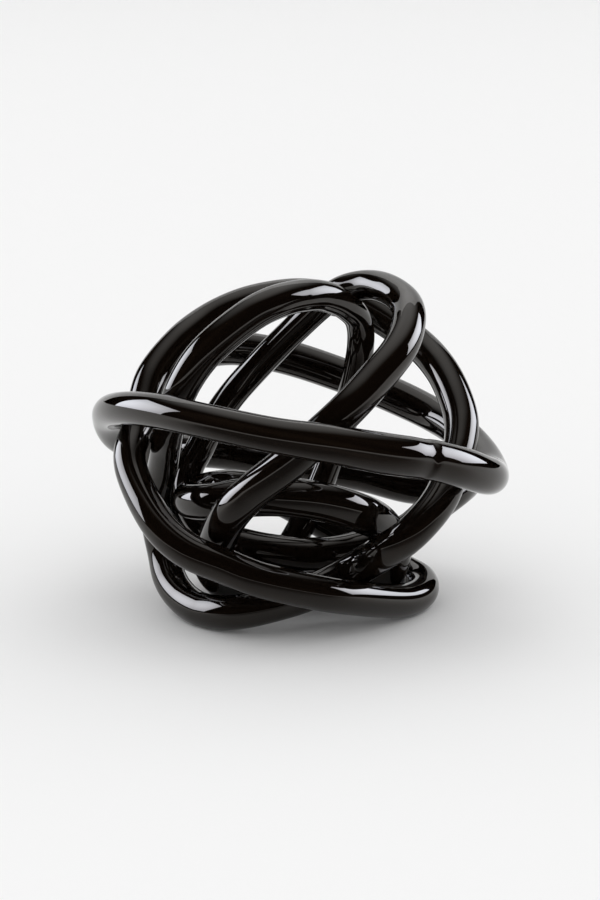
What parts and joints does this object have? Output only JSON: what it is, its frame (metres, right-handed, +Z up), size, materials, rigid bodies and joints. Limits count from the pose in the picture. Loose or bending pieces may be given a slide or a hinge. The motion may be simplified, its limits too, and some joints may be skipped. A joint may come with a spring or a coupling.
{
  "type": "glass knot sculpture",
  "caption": "Free-standing ornament made of a thick glossy black glass rod wound into a loose, open, knotted ball.",
  "frame": {"origin": "on the table, under the middle of the knot's overall box", "axes": "+Z up, -Y towards the pictured front, +X to the viewer's right"},
  "size_m": [0.1994, 0.192, 0.1649],
  "materials": {
    "black_glass": "fire-polished, opaque black"
  },
  "bodies": {
    "root": {"belt_rod": "black_glass", "inner_rise_rod": "black_glass", "over_top_rod": "black_glass", "inner_floor_rod": "black_glass", "lower_front_rod": "black_glass", "right_side_rod": "black_glass", "left_arch_rod": "black_glass", "back_rise_rod": "black_glass"}
  },
  "joints": []
}
